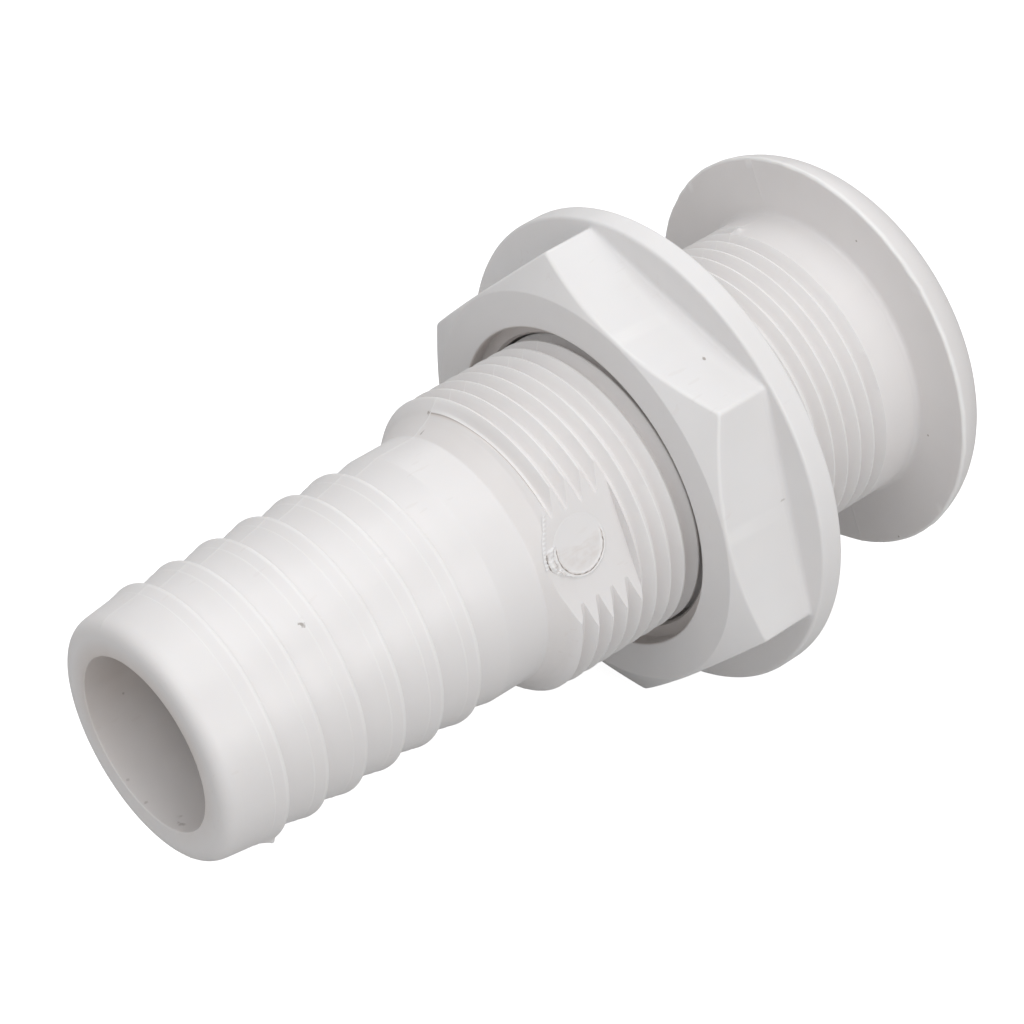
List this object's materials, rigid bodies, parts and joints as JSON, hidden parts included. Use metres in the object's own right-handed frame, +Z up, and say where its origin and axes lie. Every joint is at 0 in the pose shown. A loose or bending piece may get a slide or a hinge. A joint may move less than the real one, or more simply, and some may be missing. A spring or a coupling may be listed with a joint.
{
  "type": "thru hull fitting",
  "caption": "Straight thru hull fitting: barbed hose tail, threaded shank and mushroom flange moulded in one, with a flanged hex nut that clamps it in a hull.",
  "frame": {"origin": "on the waterway's axis, at the sealing face of the mushroom flange", "axes": "+X along the waterway towards the outboard side, +Z up as fitted in a hull's side; the hose tail points along -X"},
  "size_m": [0.1028, 0.0577, 0.0576],
  "materials": {
    "body_plastic": "off-white moulded plastic, satin",
    "nut_plastic": "off-white moulded plastic, satin"
  },
  "bodies": {
    "fitting": {"fitting_body": "body_plastic"},
    "nut_carriage": {"nut_flange": "nut_plastic"},
    "nut": {"nut_hex": "nut_plastic"}
  },
  "joints": [
    {"name": "nut_travel", "type": "slide", "parent": "fitting", "child": "nut_carriage", "axis": [1, 0, 0], "range_m": [-0.0147, 0.0189]},
    {"name": "nut_turn", "type": "hinge", "parent": "nut_carriage", "child": "nut", "pos_m": [-0.031, 0, 0], "axis": [1, 0, 0], "range_deg": [-2520, 3240]}
  ],
  "couplings": [
    {"joint": "nut_travel", "follows": "nut_turn", "m_per_rad": 0.00033423}
  ]
}
